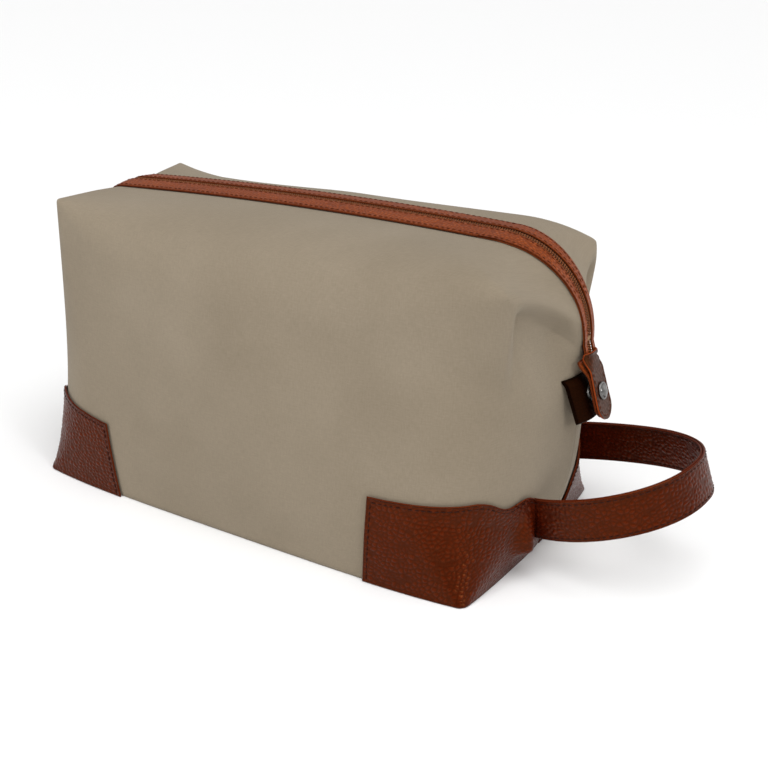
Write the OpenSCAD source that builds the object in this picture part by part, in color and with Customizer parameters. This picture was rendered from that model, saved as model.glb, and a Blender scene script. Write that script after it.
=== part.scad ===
// Soft shaving kit bag. Two canvas shells rise from a flat base to four pointed ears and meet in a
// zip that runs along the ridge and down both ends. Leather covers the bottom corners and both
// sides of the zip. The right end has a snap-down zip tab, its keeper and a loop handle.
// X runs along the bag towards the handle, Y from front to back, Z up. The origin is the middle of
// the base's underside. Millimetres.

/* [Bag body] */
// Length of the base between its corner tips
base_length = 266; // [250:1:280]
// Width of the base between its corner tips
base_width = 150; // [140:1:160]
// Height of the four ears
ear_height = 155; // [148:1:158]
// Distance between the left and right ears
ear_span = 272; // [264:1:278]
// Distance of the front ears from the centre plane
front_ear_y = 57; // [48:1:62]
// Distance of the back ears from the centre plane
back_ear_y = 51; // [48:1:62]
// Height of the highest point of the zip ridge
crest_height = 166.4; // [163:0.2:170]
// Thickness of the canvas
canvas_t = 1.2; // [0.8:0.1:1.2]
// Thickness of the lining
lining_t = 0.4; // [0.3:0.1:0.5]

/* [Leather] */
// Thickness of the corner patches
patch_t = 1.4; // [1:0.1:1.6]
// Half width of the leather on both sides of the zip
strip_half = 15.5; // [14:0.5:17]
// Thickness of the leather beside the zip
facing_t = 1.2; // [0.8:0.1:1.2]
// Thickness of one layer of the tab and of the handle
strap_t = 1.3; // [1:0.1:1.4]
// Width of the handle strap
handle_w = 22.4; // [18:0.2:24]
// Width of the zip tab at the snap
tab_w = 16; // [14:0.5:17]
// Width of the zip tab at its hinge line
tab_top_w = 13.5; // [12:0.5:15]
// Length of the zip tab
tab_l = 36; // [32:1:38]

/* [Snap] */
// Radius of the snap's cap
cap_r = 4.5; // [4:0.1:5]
// Distance from the tab's hinge line to the snap
snap_d = 21.5; // [20:0.5:23]

/* [Hidden] */
$fn = 48;

half_l = base_length / 2;
half_w = base_width / 2;
ear_x = ear_span / 2;
base_bow = [3, 5.5];          // how far the base's end and side edges bow out
corner_run = [2, 36];         // smallest and largest rounding of the upright corners
rim_run = [2.5, 40];          // rounding of the top edge at an ear and half way along it
crease_run = 9;               // rounding of the crease from an ear to the zip's end
rim_bow = 9;                  // how far the top edge bows out
rim_drop = 3;                 // top edge below the ridge
wall_bulge = [13, 5];         // bulge of the end faces and of the long sides
canvas_half = 13;             // the canvas stops this far from the zip's centre line
closing = 0.05;               // share of an end over which that edge closes at the zip's end
strip_end = 9.5;              // half width of the leather at the zip's ends
crown_r = 90;                 // radius of the strip's crown across the zip
seam_gap = 0.05;              // each half stops this far from the centre plane

crest_x = 105;                // the ridge is highest here
ridge_r = 2400;               // the ridge is a slight arch
arc_x = 107;                  // the right shoulder starts here
arc_r = 47.5;                 // and is this round
bend_x = -125;                // the left shoulder starts here
bend_r = 12;                  // and is this round
bend_share = 0.4;             // share of the left end's run that is the bend
left_slope = 56;              // the left end of the zip falls at this angle
zip_end_x = arc_x + arc_r;
zip_end_z = crest_height - arc_r;
crease_end_z = zip_end_z - 6;
shoulder_p = 1.12;            // an ear faces this place on the zip line

lining_gap = 0.5;
patch_gap = 0.7;
facing_gap = 0.5;
tape = [1, 8.4];              // the tape's inner and outer edge from the centre line
coil = [0.35, 2.2];
zip_from = -1.93;             // the chain and its tapes run between these places
zip_to = 1.94;
facing_in = 2.8;

function mix(a, b, k) = a + (b - a) * k;
function clamp01(k) = max(0, min(1, k));
function unit(v) = v / max(norm(v), 1e-9);
// A ramp that starts softly within w of zero
function ramp(x, w) = x <= -w ? 0 : x >= w ? x : pow(x + w, 2) / (4 * w);
function bezier(a, b, c, d, k) =
    a * pow(1 - k, 3) + 3 * b * k * pow(1 - k, 2) + 3 * c * k * k * (1 - k) + d * pow(k, 3);

// ---- the zip line: p runs from -2 at the left end over the ridge to 2 at the right end ----
function ridge_z(x) = crest_height - pow(x - crest_x, 2) / (2 * ridge_r);
bend_from = 90 + atan((crest_x - bend_x) / ridge_r);
bend_to = 90 + left_slope;
bend_c = [bend_x - bend_r * cos(bend_from), ridge_z(bend_x) - bend_r * sin(bend_from)];
bend_end = bend_c + bend_r * [cos(bend_to), sin(bend_to)];
slope_run = (bend_end.y - zip_end_z) / sin(left_slope);
function zip_point(p) =
    p > 1 ? [arc_x + arc_r * sin(90 * (p - 1)), zip_end_z + arc_r * cos(90 * (p - 1))]
    : p >= 0 ? [p * arc_x, ridge_z(p * arc_x)]
    : p >= -1 ? [-p * bend_x, ridge_z(-p * bend_x)]
    : -p - 1 < bend_share
        ? let (a = mix(bend_from, bend_to, (-p - 1) / bend_share)) bend_c + bend_r * [cos(a), sin(a)]
    : bend_end - slope_run * (-p - 1 - bend_share) / (1 - bend_share)
        * [cos(left_slope), sin(left_slope)];
function zip_normal(p) =
    p > 1 ? [sin(90 * (p - 1)), cos(90 * (p - 1))]
    : p >= -1 ? unit([(abs(p) * (p < 0 ? bend_x : arc_x) - crest_x) / ridge_r, 1])
    : let (a = mix(bend_from, bend_to, min(1, (-p - 1) / bend_share))) [cos(a), sin(a)];
function strip_point(p, y, off) =
    let (c = zip_point(p), n = zip_normal(p), h = off - y * y / (2 * crown_r))
    [c.x + n.x * h, y, c.y + n.y * h];
function half_at(p, half) = mix(half, strip_end, clamp01((abs(p) - 1.3) / 0.7));

// ---- the bag's skin: s runs along the front and round the ends, t up the wall and over the top ----
function column_pull(s, tau) =
    s < 0 ? sin(180 * pow(tau, 0.8)) * (1 - 0.5 * tau) : min(1, 1.3 * sin(180 * pow(tau, 0.9)));
function base_point(sg, af, ae) =
    [sg * (half_l * (1 - af) + base_bow.x * (1 - pow(1 - ae, 2)) * min(1, 9 * ae)),
     -half_w * (1 - ae) - base_bow.y * (1 - pow(1 - af, 4)), 0];
function rim_point(sg, af, ae, ear_y) =
    let (x = sg * (ear_x * (1 - af) + (zip_end_x - ear_x) * ae),
         lift = max(ridge_z(x) - rim_drop, ear_height) - ear_height)
    [x, -(ear_y + rim_bow * (1 - pow(1 - af, 2))) + ear_y * ae,
     ear_height + lift * (1 - pow(1 - min(4 * af, 1), 2)) + (crease_end_z - ear_height) * ae];
function edge_point(sg, a) =
    let (p = a < 1 ? a * shoulder_p : mix(shoulder_p, 2, a - 1),
         half = half_at(p, canvas_half) * clamp01((2 - a) / closing))
    strip_point(sg * p, -half, 0);
function skin(s, t, ear_y) =
    let (sg = s < 0 ? -1 : 1, a = abs(s), tau = min(t, 1),
         w = mix(corner_run.x, corner_run.y, max(0, column_pull(s, tau))),
         along = a < 1 ? (1 - a) * half_l : (1 - a) * ear_y,
         af = ramp(along, w) / half_l, ae = ramp(-along, w) / ear_y,
         low = base_point(sg, af, ae), rim = rim_point(sg, af, ae, ear_y), top = edge_point(sg, a),
         down = low - rim, over = top - rim, ld = norm(down), lo = max(norm(over), 0.001),
         soft = a < 1 ? mix(rim_run.y, rim_run.x, pow(a, 3))
             : mix(rim_run.x, crease_run, clamp01(3 * a - 3)),
         v = min(soft, 0.95 * min(ld, lo)),
         d = t < 1 ? (t - 1) * ld : (t - 1) * lo,
         out = [sg * wall_bulge.x * sin(180 * tau) * (1 - 0.8 * tau) * sqrt(ae),
                -wall_bulge.y * sin(180 * tau) * (1 - pow(1 - af, 2)), 0])
    rim + down * ramp(-d, v) / ld + over * ramp(d, v) / lo + out;
function skin_normal(s, t, ear_y) =
    let (e = 0.004, s0 = max(s - e, -2), s1 = min(s + e, 2), t0 = max(t - e, 0), t1 = min(t + e, 2))
    unit(cross(skin(s1, t, ear_y) - skin(s0, t, ear_y), skin(s, t1, ear_y) - skin(s, t0, ear_y)));
// Points of the skin moved out by off, kept on their own side of the centre plane and off the floor
function skin_off(s, t, ear_y, off) =
    let (q = skin(s, t, ear_y) + off * skin_normal(s, t, ear_y))
    [q.x, min(q.y, -seam_gap), t == 0 ? 0 : max(q.z, 0)];

// A closed sheet between two grids of (nu + 1) x (nv + 1) points, inner and outer
module sheet(inner, outer, nu, nv) {
    n = (nu + 1) * (nv + 1);
    function at(i, j) = i * (nv + 1) + j;
    polyhedron(concat(outer, inner), concat(
        [for (i = [0:nu - 1], j = [0:nv - 1], h = [0, 1]) let (a = at(i, j), c = at(i + 1, j + 1),
            b = h == 0 ? at(i, j + 1) : c, d = h == 0 ? c : at(i + 1, j)) [a, b, d]],
        [for (i = [0:nu - 1], j = [0:nv - 1], h = [0, 1]) let (a = n + at(i, j),
            c = n + at(i + 1, j + 1), b = h == 0 ? n + at(i, j + 1) : c,
            d = h == 0 ? c : n + at(i + 1, j)) [a, d, b]],
        [for (i = [0:nu - 1], j = [0, nv], h = [0, 1]) let (a = at(i, j), b = at(i + 1, j),
            f = h == 0 ? [a, b, n + b] : [a, n + b, n + a]) j == 0 ? f : [f[2], f[1], f[0]]],
        [for (j = [0:nv - 1], i = [0, nu], h = [0, 1]) let (a = at(i, j), b = at(i, j + 1),
            f = h == 0 ? [b, a, n + a] : [b, n + a, n + b]) i == 0 ? f : [f[2], f[1], f[0]]]));
}

// ---- canvas and lining: columns and rows crowd together at the upright corners and the rim ----
side_cells = 22;
end_cells = 7;
wall_cells = 10;
roof_cells = 6;
end_columns = concat([for (k = [1:end_cells - 1]) 1 + pow(k / end_cells, 1.5)], [2 - closing, 2]);
columns = concat([for (k = [end_cells:-1:0]) -end_columns[k]],
    [for (k = [0:side_cells]) sin(180 * k / side_cells - 90)], end_columns);
function rows(t0) = concat([for (k = [0:wall_cells]) mix(t0, 1, sin(90 * k / wall_cells))],
    [for (k = [1:roof_cells]) 1 + k / roof_cells]);
module half_shell(ear_y, t0, low, high) {
    tt = rows(t0);
    sheet([for (s = columns, t = tt) skin_off(s, t, ear_y, low)],
        [for (s = columns, t = tt) skin_off(s, t, ear_y, high)], len(columns) - 1, len(tt) - 1);
}
lining_t0 = 0.026;            // the lining starts on top of the base board
module front_panel() color("#91846f") half_shell(front_ear_y, 0, -canvas_t, 0);
module back_panel() color("#91846f") mirror([0, 1, 0]) half_shell(back_ear_y, 0, -canvas_t, 0);
lining_out = -canvas_t - lining_gap;
module lining_front() color("#b8ab93")
    half_shell(front_ear_y, lining_t0, lining_out - lining_t, lining_out);
module lining_back() color("#b8ab93") mirror([0, 1, 0])
    half_shell(back_ear_y, lining_t0, lining_out - lining_t, lining_out);

// ---- base: flat plates whose outline follows the foot of the walls ----
module plate(inset, z, t) {
    edge = [for (k = [-24:24]) let (s = 2 * k / 24, q = skin(s, 0, front_ear_y))
        [q.x * (1 - inset / half_l), min(q.y, 0) * (1 - inset / half_w)]];
    translate([0, 0, z]) linear_extrude(t)
        polygon(concat(edge, [for (k = [len(edge) - 2:-1:1]) [edge[k].x, -edge[k].y]]));
}
board_z = 1.4;
board_t = 2;
module base_panel() color("#857862") plate(canvas_t + 0.4, 0, canvas_t);
module base_board() color("#6d675c") plate(6, board_z, board_t);
module lining_base() color("#b8ab93") plate(5, board_z + board_t + 0.2, lining_t);

// ---- leather corner patches ----
patch_end = 1.97;             // the patch reaches nearly to the middle of the end face
patch_point = 1.69;           // where its top edge turns down
patch_row = 0.65;             // its middle row is no higher than this share of its height
function patch_top(a, front_top) =
    a < 1 ? mix(front_top, 0.315, clamp01((a - 0.6) / 0.4))
    : a < patch_point ? mix(0.315, 0.24, (a - 1) / (patch_point - 1))
    : mix(0.24, 0.03, (a - patch_point) / (patch_end - patch_point));
// A patch shares the columns and the lowest row of the canvas under it, so the two stay apart
module corner_patch(sg, ear_y, inner_low, inner_top, front_top) {
    around = concat([0], [for (c = columns) if (c > max(inner_low, inner_top) && c < patch_point) c],
        [patch_point], [for (c = columns) if (c > patch_point && c < patch_end) c], [patch_end]);
    n = len(around) - 1;
    nv = 2;
    uv = [for (i = [0:n], v = [0:nv])
        let (c = around[sg > 0 ? i : n - i], a = c > 0 ? c : mix(inner_low, inner_top, v / nv),
             top = patch_top(a, front_top))
        [sg * a, v == 1 ? min(patch_row * top, rows(0)[1]) : v * top / nv]];
    low = [for (q = uv) skin_off(q.x, q.y, ear_y, patch_gap)];
    high = [for (q = uv) skin_off(q.x, q.y, ear_y, patch_gap + patch_t)];
    sheet(low, high, n, nv);
}
// Left patches lean at their inner edge and are lower there; right ones stand upright
module corner_front_left() color("#5a2512") corner_patch(-1, front_ear_y, 0.58, 0.65, 0.26);
module corner_front_right() color("#5a2512") corner_patch(1, front_ear_y, 0.6, 0.595, 0.285);
module corner_back_left() color("#5a2512") mirror([0, 1, 0])
    corner_patch(-1, back_ear_y, 0.58, 0.65, 0.26);
module corner_back_right() color("#5a2512") mirror([0, 1, 0])
    corner_patch(1, back_ear_y, 0.6, 0.595, 0.285);

// ---- bands along the zip: leather facings, tapes and coils ----
module band(in, out, low, high, p0, p1, nu, nv) {
    pts = [for (i = [0:nu], j = [0:nv]) let (p = mix(p0, p1, i / nu)) [p, -mix(out, in, j / nv)]];
    function y_at(q) = max(q.y, -half_at(q.x, out));
    sheet([for (q = pts) strip_point(q.x, y_at(q), low)],
        [for (q = pts) strip_point(q.x, y_at(q), high)], nu, nv);
}
module facing() band(facing_in, strip_half, facing_gap, facing_gap + facing_t, -2, 2, 40, 2);
module tape_half() band(tape.x, tape.y, -1.2, -0.6, zip_from, zip_to, 32, 1);
module coil_half() band(coil.x, coil.y, -0.4, 1.1, zip_from, zip_to, 36, 1);
module zip_facing_front() color("#7d482a") facing();
module zip_facing_back() color("#7d482a") mirror([0, 1, 0]) facing();
module zip_tape_front() color("#5a3018") tape_half();
module zip_tape_back() color("#5a3018") mirror([0, 1, 0]) tape_half();
module zip_coil_front() color("#6b3a1e") coil_half();
module zip_coil_back() color("#6b3a1e") mirror([0, 1, 0]) coil_half();

// A frame on the zip's left run: x' points out of the bag, z' down the slope
module at_slope(up) translate([bend_end.x, 0, bend_end.y])
    rotate([0, -90 - left_slope, 0]) translate([0, 0, slope_run - up]) children();
tab_lean = 18;
tab_x = zip_end_x + 3.9;
tab_z = zip_end_z - 2.5;
// The tab's frame: x' points out of the bag, z' up the tab
module at_tab() translate([tab_x, 0, tab_z]) rotate([0, -tab_lean, 0]) children();
stop = [1.5, 4, 2];
stop_low = -0.4;
right_stop_p = 1.965;
left_stop_up = 3.2;
module zip_stops() color("#8a6a45") {
    translate([zip_point(right_stop_p).x, 0, zip_point(right_stop_p).y])
        rotate([0, 90 * right_stop_p - 180, 0]) stop_block();
    at_slope(left_stop_up) stop_block();
}
module stop_block() translate([stop_low, -stop.y / 2, -stop.z / 2]) cube(stop);
cover_l = 22;
cover_w = 18;
module zip_end_cover() color("#5a2512")
    translate([-zip_end_x - 3.4, 0, zip_end_z - 1]) rotate([0, 8, 0]) rotate([0, 90, 0])
        linear_extrude(strap_t) tab_outline(cover_w, cover_w, cover_l);

// ---- slider and pull on the straight left run of the zip ----
slider_up = 8;                // the slider rests this far above the zip's left end
slider = [11, 9, 1.4];        // length, width, thickness of its top plate
slider_low = 1.9;             // underside of the plate above the zip line
bridge_h = 2.4;
pull = [22, 7, 1.2];
pull_pin_r = 0.8;
pull_neck = 4;
pull_clear = 7;               // the pull is narrow this far from its pin
keel_low = 1.45;              // the keel runs between the leather facings, above the coil
keel_w = 4;
lug = [4, 1.6, 3.2];          // length and thickness of a bridge lug, and its place from the middle
pin_x = slider_low + slider.z + bridge_h / 2;
module zip_slider() color("#8a6a45") at_slope(slider_up) {
    translate([slider_low, -slider.y / 2, -slider.x / 2]) cube([slider.z, slider.y, slider.x]);
    translate([keel_low, -keel_w / 2, -slider.x / 2])
        cube([slider_low - keel_low, keel_w, slider.x]);
    for (side = [-1, 1]) difference() {
        translate([slider_low + slider.z, side * lug.z - lug.y / 2, -lug.x / 2])
            cube([bridge_h, lug.y, lug.x]);
        translate([pin_x, side * lug.z, 0]) rotate([90, 0, 0])
            cylinder(h = lug.y + 1, r = pull_pin_r + 0.05, center = true);
    }
}
module zip_pull() color("#5a2512") at_slope(slider_up) translate([pin_x, 0, 0]) {
    rotate([90, 0, 0]) cylinder(h = 2 * lug.z + lug.y - 0.4, r = pull_pin_r, center = true);
    translate([-pull.z / 2, -pull_neck / 2, 0]) cube([pull.z, pull_neck, pull.x]);
    translate([-pull.z / 2, -pull.y / 2, pull_clear]) cube([pull.z, pull.y, pull.x - pull_clear]);
}

// ---- snap tab at the right end: two leather layers, cap, socket ----
rivet_r = 1.5;
module tab_outline(top_w, w, l) {
    polygon([[0, -top_w / 2], [l - w / 2, -w / 2], [l - w / 2, w / 2], [0, top_w / 2]]);
    translate([l - w / 2, 0]) circle(w / 2);
}
module tab_layer(n, l) at_tab() difference() {
    translate([n, 0, 0]) rotate([0, 90, 0]) linear_extrude(strap_t) tab_outline(tab_top_w, tab_w, l);
    translate([n - 1, 0, -snap_d]) rotate([0, 90, 0]) cylinder(h = strap_t + 2, r = rivet_r + 0.05);
}
module tab_outer() color("#6b3018") tab_layer(-strap_t, tab_l);
module tab_inner() color("#6b3018") tab_layer(-2 * strap_t - 0.1, tab_l - 1);
cap_h = 2.2;
socket_h = 1.9;
tab_back = -2 * strap_t - 0.1;
module snap_cap() color("#b9bcc0") at_tab() translate([0, 0, -snap_d]) rotate([0, 90, 0]) {
    intersection() {
        translate([0, 0, cap_h - 7]) sphere(7);
        cylinder(h = cap_h, r = cap_r);
    }
    translate([0, 0, tab_back]) cylinder(h = 0.1 - tab_back, r = rivet_r);
}
stud_r = 1.6;
module snap_socket() color("#b9bcc0") at_tab() translate([tab_back - socket_h, 0, -snap_d])
    rotate([0, 90, 0]) difference() {
        cylinder(h = socket_h, r = cap_r);
        translate([0, 0, -0.1]) cylinder(h = 1.5, r = stud_r + 0.5);
    }

// ---- keeper: a bowed flap behind the tab, sewn to the bag along its top, that carries the stud ----
stud_gap = 0.6;
keeper_front = tab_back - socket_h - stud_gap - 0.7;
keeper_w = 26;
keeper_top = 11.5;
keeper_h = 22.5;
keeper_t = 1.8;
keeper_bow_r = 27;
seam_h = 2.5;
seam_t = 3.6;
module keeper_strap() color("#2d0f06") at_tab() difference() {
    union() {
        translate([keeper_front, 0, -keeper_top - keeper_h])
            linear_extrude(keeper_h) keeper_bow(keeper_t);
        translate([keeper_front, 0, -keeper_top - seam_h]) linear_extrude(seam_h) keeper_bow(seam_t);
    }
    translate([keeper_front - 3, 0, -snap_d]) rotate([0, 90, 0]) cylinder(h = 4, r = rivet_r + 0.05);
}
module keeper_bow(t) intersection() {
    translate([-keeper_bow_r, 0]) difference() {
        circle(keeper_bow_r, $fn = 180);
        circle(keeper_bow_r - t, $fn = 180);
    }
    translate([-10, -keeper_w / 2]) square([11, keeper_w]);
}
module snap_stud() color("#b9bcc0") at_tab() translate([keeper_front, 0, -snap_d]) rotate([0, 90, 0]) {
    cylinder(h = 0.7, r = cap_r);
    cylinder(h = 2.4, r = stud_r);
}
rivet_head = [3.4, 0.8, 0.25];  // radius, thickness, and its gap to the bowed flap's middle
module stud_rivet() color("#b9bcc0")
    at_tab() translate([keeper_front - keeper_t - rivet_head.z, 0, -snap_d]) rotate([0, 90, 0]) {
        translate([0, 0, -rivet_head.y]) cylinder(h = rivet_head.y, r = rivet_head.x);
        cylinder(h = keeper_t + rivet_head.z, r = rivet_r);
    }

// ---- loop handle: a two-layer strap on edge, bent in a leaning plane ----
handle_at = [138.5, 20, 33];
handle_turn = [5, -18, 0];
handle_ends = [153.5, 140.4];  // the near and the far end stop at these X, clear of the patches
function handle_path(k) =
    k < 1 ? bezier([0, -44], [34, -60], [80, -46], [83, -8], k)
    : bezier([83, -8], [84, 8], [70, 30], [-4, 43], k - 1);
handle_cells = 20;
module strap_band(from, to) {
    line = [for (i = [0:2 * handle_cells]) let (k = i / handle_cells,
        d = unit(handle_path(k + 0.01) - handle_path(k - 0.01))) [handle_path(k), [d.y, -d.x]]];
    polygon(concat([for (q = line) q[0] + to * q[1]],
        [for (i = [len(line) - 1:-1:0]) line[i][0] + from * line[i][1]]));
}
module handle_layer(from, to) intersection() {
    translate(handle_at) rotate(handle_turn) linear_extrude(handle_w, center = true)
        strap_band(from, to);
    union() {
        translate([handle_ends.x, -60, 0]) cube([120, 60 + handle_at.y, 120]);
        translate([handle_ends.y, handle_at.y, 0]) cube([120, 60, 120]);
    }
}
module handle_outer() color("#5a2512") handle_layer(0.05, strap_t + 0.05);
module handle_inner() color("#5a2512") handle_layer(-strap_t - 0.05, -0.05);

front_panel();
back_panel();
base_panel();
base_board();
lining_front();
lining_back();
lining_base();
corner_front_left();
corner_front_right();
corner_back_left();
corner_back_right();
zip_facing_front();
zip_facing_back();
zip_tape_front();
zip_tape_back();
zip_coil_front();
zip_coil_back();
zip_stops();
zip_end_cover();
zip_slider();
zip_pull();
tab_outer();
tab_inner();
snap_cap();
snap_socket();
keeper_strap();
snap_stud();
stud_rivet();
handle_outer();
handle_inner();
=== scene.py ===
"""Looks of a soft shaving kit bag: canvas shells, pebbled leather, a coil zip, a snap tab and a loop handle.

The shapes follow the same formulas as the CAD frame, in millimetres, and become metres when a mesh is made.
X runs along the bag towards the handle, Y from front to back, Z up.
"""
import math

import bmesh
import bpy
import numpy as np
from mathutils import Matrix, Vector


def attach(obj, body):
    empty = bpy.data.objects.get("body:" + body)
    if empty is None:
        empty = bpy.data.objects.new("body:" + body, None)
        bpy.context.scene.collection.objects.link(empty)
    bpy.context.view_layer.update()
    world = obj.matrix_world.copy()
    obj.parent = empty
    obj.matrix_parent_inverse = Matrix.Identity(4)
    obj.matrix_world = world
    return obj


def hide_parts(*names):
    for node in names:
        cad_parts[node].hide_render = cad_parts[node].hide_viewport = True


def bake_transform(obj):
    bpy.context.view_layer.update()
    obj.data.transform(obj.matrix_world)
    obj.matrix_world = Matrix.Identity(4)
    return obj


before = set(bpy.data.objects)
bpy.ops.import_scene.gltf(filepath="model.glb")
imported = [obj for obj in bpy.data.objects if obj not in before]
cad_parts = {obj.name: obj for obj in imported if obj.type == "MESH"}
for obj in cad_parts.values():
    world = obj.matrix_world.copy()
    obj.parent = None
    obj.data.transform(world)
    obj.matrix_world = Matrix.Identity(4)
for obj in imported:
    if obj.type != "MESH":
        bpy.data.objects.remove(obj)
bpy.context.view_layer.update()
MM = 0.001

# ---------------------------------------------------------------- sizes, in millimetres
HALF_L, HALF_W = 133.0, 75.0
EAR_X, EAR_Z = 136.0, 155.0
FRONT_Y, BACK_Y = 57.0, 51.0
CREST_X, CREST_Z, RIDGE_R = 105.0, 166.4, 2400.0
BASE_BOW = (3.0, 5.5)
CORNER_RUN = (2.0, 36.0)
RIM_RUN = (2.5, 40.0)
CREASE_RUN = 9.0
RIM_BOW, RIM_DROP = 9.0, 3.0
WALL_BULGE = (13.0, 5.0)
CANVAS_HALF, STRIP_HALF, STRIP_END = 13.0, 15.5, 9.5
CLOSING = 0.05
CROWN_R = 90.0
SEAM_GAP = 0.05
ARC_X, ARC_R = 107.0, 47.5
BEND_X, BEND_R, BEND_SHARE, LEFT_SLOPE = -125.0, 12.0, 0.4, math.radians(56)
ZIP_END_X, ZIP_END_Z = ARC_X + ARC_R, CREST_Z - ARC_R
CREASE_END_Z = ZIP_END_Z - 6
TAIL_RUN, TAIL_LEAN, TAIL_P = 36.0, math.radians(18), 2.2
SHOULDER_P = 1.12
CANVAS_T, LINING_T, LINING_GAP = 1.2, 0.4, 0.5
PATCH_T, PATCH_GAP = 1.4, 0.7
FACING_T, FACING_GAP, FACING_IN = 1.2, 0.5, 2.8
STRAP_T = 1.3
GRAIN = 2.7


# ---------------------------------------------------------------- small maths
def mix(a, b, k):
    return a + (b - a) * k


def clamp01(k):
    return np.clip(k, 0.0, 1.0)


def smooth(k):
    k = clamp01(k)
    return k * k * (3 - 2 * k)


def unit(v):
    return v / np.maximum(np.linalg.norm(v, axis=-1, keepdims=True), 1e-9)


def ramp(x, w):
    """A ramp that starts softly within w of zero."""
    return np.where(x <= -w, 0.0, np.where(x >= w, x, (x + w) ** 2 / (4 * w)))


def hash01(x, y, z, seed):
    h = np.sin(x * 127.1 + y * 311.7 + z * 74.7 + seed * 53.9) * 43758.5453
    return h - np.floor(h)


def noise(p, size, seed):
    """Smooth noise from -1 to 1 with features of this size, at points p."""
    q = np.asarray(p) / size
    i = np.floor(q)
    f = q - i
    f = f * f * (3 - 2 * f)
    total = 0.0
    for dx in (0, 1):
        for dy in (0, 1):
            for dz in (0, 1):
                h = hash01(i[..., 0] + dx, i[..., 1] + dy, i[..., 2] + dz, seed)
                wx = f[..., 0] if dx else 1 - f[..., 0]
                wy = f[..., 1] if dy else 1 - f[..., 1]
                wz = f[..., 2] if dz else 1 - f[..., 2]
                total = total + h * wx * wy * wz
    return total * 2 - 1


def pebbles(flat, size, seed):
    """Leather grain on flat coordinates: 0 in the creases, 1 on the crowns."""
    x, y = flat[..., 0] / size, flat[..., 1] / (size * 0.8)
    x = x + 0.25 * noise(flat, size * 2.2, seed + 5)
    y = y + 0.25 * noise(flat, size * 2.2, seed + 6)
    ix, iy = np.floor(x), np.floor(y)
    first, second = np.full(x.shape, 9.0), np.full(x.shape, 9.0)
    for dx in (-1, 0, 1):
        for dy in (-1, 0, 1):
            cx, cy = ix + dx, iy + dy
            jx, jy = hash01(cx, cy, 0, seed), hash01(cx, cy, 7, seed)
            d = np.hypot(cx + jx - x, cy + jy - y)
            second = np.minimum(second, np.maximum(first, d))
            first = np.minimum(first, d)
    return smooth((second - first) / 0.8) ** 0.6


# ---------------------------------------------------------------- the zip line and the bag's skin
def ridge_z(x):
    return CREST_Z - (x - CREST_X) ** 2 / (2 * RIDGE_R)


BEND_FROM = math.pi / 2 + math.atan((CREST_X - BEND_X) / RIDGE_R)
BEND_TO = math.pi / 2 + LEFT_SLOPE
BEND_C = (BEND_X - BEND_R * math.cos(BEND_FROM), ridge_z(BEND_X) - BEND_R * math.sin(BEND_FROM))
BEND_END = (BEND_C[0] + BEND_R * math.cos(BEND_TO), BEND_C[1] + BEND_R * math.sin(BEND_TO))
SLOPE_RUN = (BEND_END[1] - ZIP_END_Z) / math.sin(LEFT_SLOPE)


def zip_line(p):
    """x, z and the outward normal's x, z: p runs from -2 at the left end over the ridge to 2 at the right."""
    p = np.asarray(p, float)
    x = np.where(p < 0, -p * BEND_X, p * ARC_X)
    z = ridge_z(x)
    nx, nz = (x - CREST_X) / RIDGE_R, np.ones_like(x)
    turn = clamp01(p - 1) * math.pi / 2
    right = p > 1
    x = np.where(right, ARC_X + ARC_R * np.sin(turn), x)
    z = np.where(right, ZIP_END_Z + ARC_R * np.cos(turn), z)
    nx, nz = np.where(right, np.sin(turn), nx), np.where(right, np.cos(turn), nz)
    tail = np.maximum(p - 2, 0) * TAIL_RUN
    x, z = x + tail * math.sin(TAIL_LEAN), z - tail * math.cos(TAIL_LEAN)
    bent = clamp01((p - 1.97) / 0.08)
    nx, nz = mix(nx, math.cos(TAIL_LEAN), bent), mix(nz, math.sin(TAIL_LEAN), bent)
    left = p < -1
    a = mix(BEND_FROM, BEND_TO, clamp01((-p - 1) / BEND_SHARE))
    run = SLOPE_RUN * clamp01((-p - 1 - BEND_SHARE) / (1 - BEND_SHARE))
    x = np.where(left, BEND_C[0] + BEND_R * np.cos(a) - run * math.cos(LEFT_SLOPE), x)
    z = np.where(left, BEND_C[1] + BEND_R * np.sin(a) - run * math.sin(LEFT_SLOPE), z)
    nx, nz = np.where(left, np.cos(a), nx), np.where(left, np.sin(a), nz)
    n = np.hypot(nx, nz)
    return x, z, nx / n, nz / n


def strip_point(p, y, off):
    x, z, nx, nz = zip_line(p)
    h = off - y * y / (2 * CROWN_R)
    return np.stack(np.broadcast_arrays(x + nx * h, y, z + nz * h), -1)


def half_at(p, half):
    """Half width of the leather or of the gap in the canvas: it narrows towards both ends of the zip."""
    left = mix(half, STRIP_END, clamp01((-p - 1.3) / 0.7))
    slim = mix(mix(0.95, 0.46, clamp01((p - 1.12) / 0.56)), 0.35, clamp01((p - 1.68) / 0.32))
    return np.where(p > 1.12, half * slim, np.where(p > 0.9, half * mix(1, 0.95, (p - 0.9) / 0.22), left))


def column_pull(s, tau):
    left = np.sin(np.pi * tau**0.8) * (1 - 0.5 * tau)
    right = np.minimum(1, 1.3 * np.sin(np.pi * tau**0.9))
    return np.maximum(0, np.where(s < 0, left, right))


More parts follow.
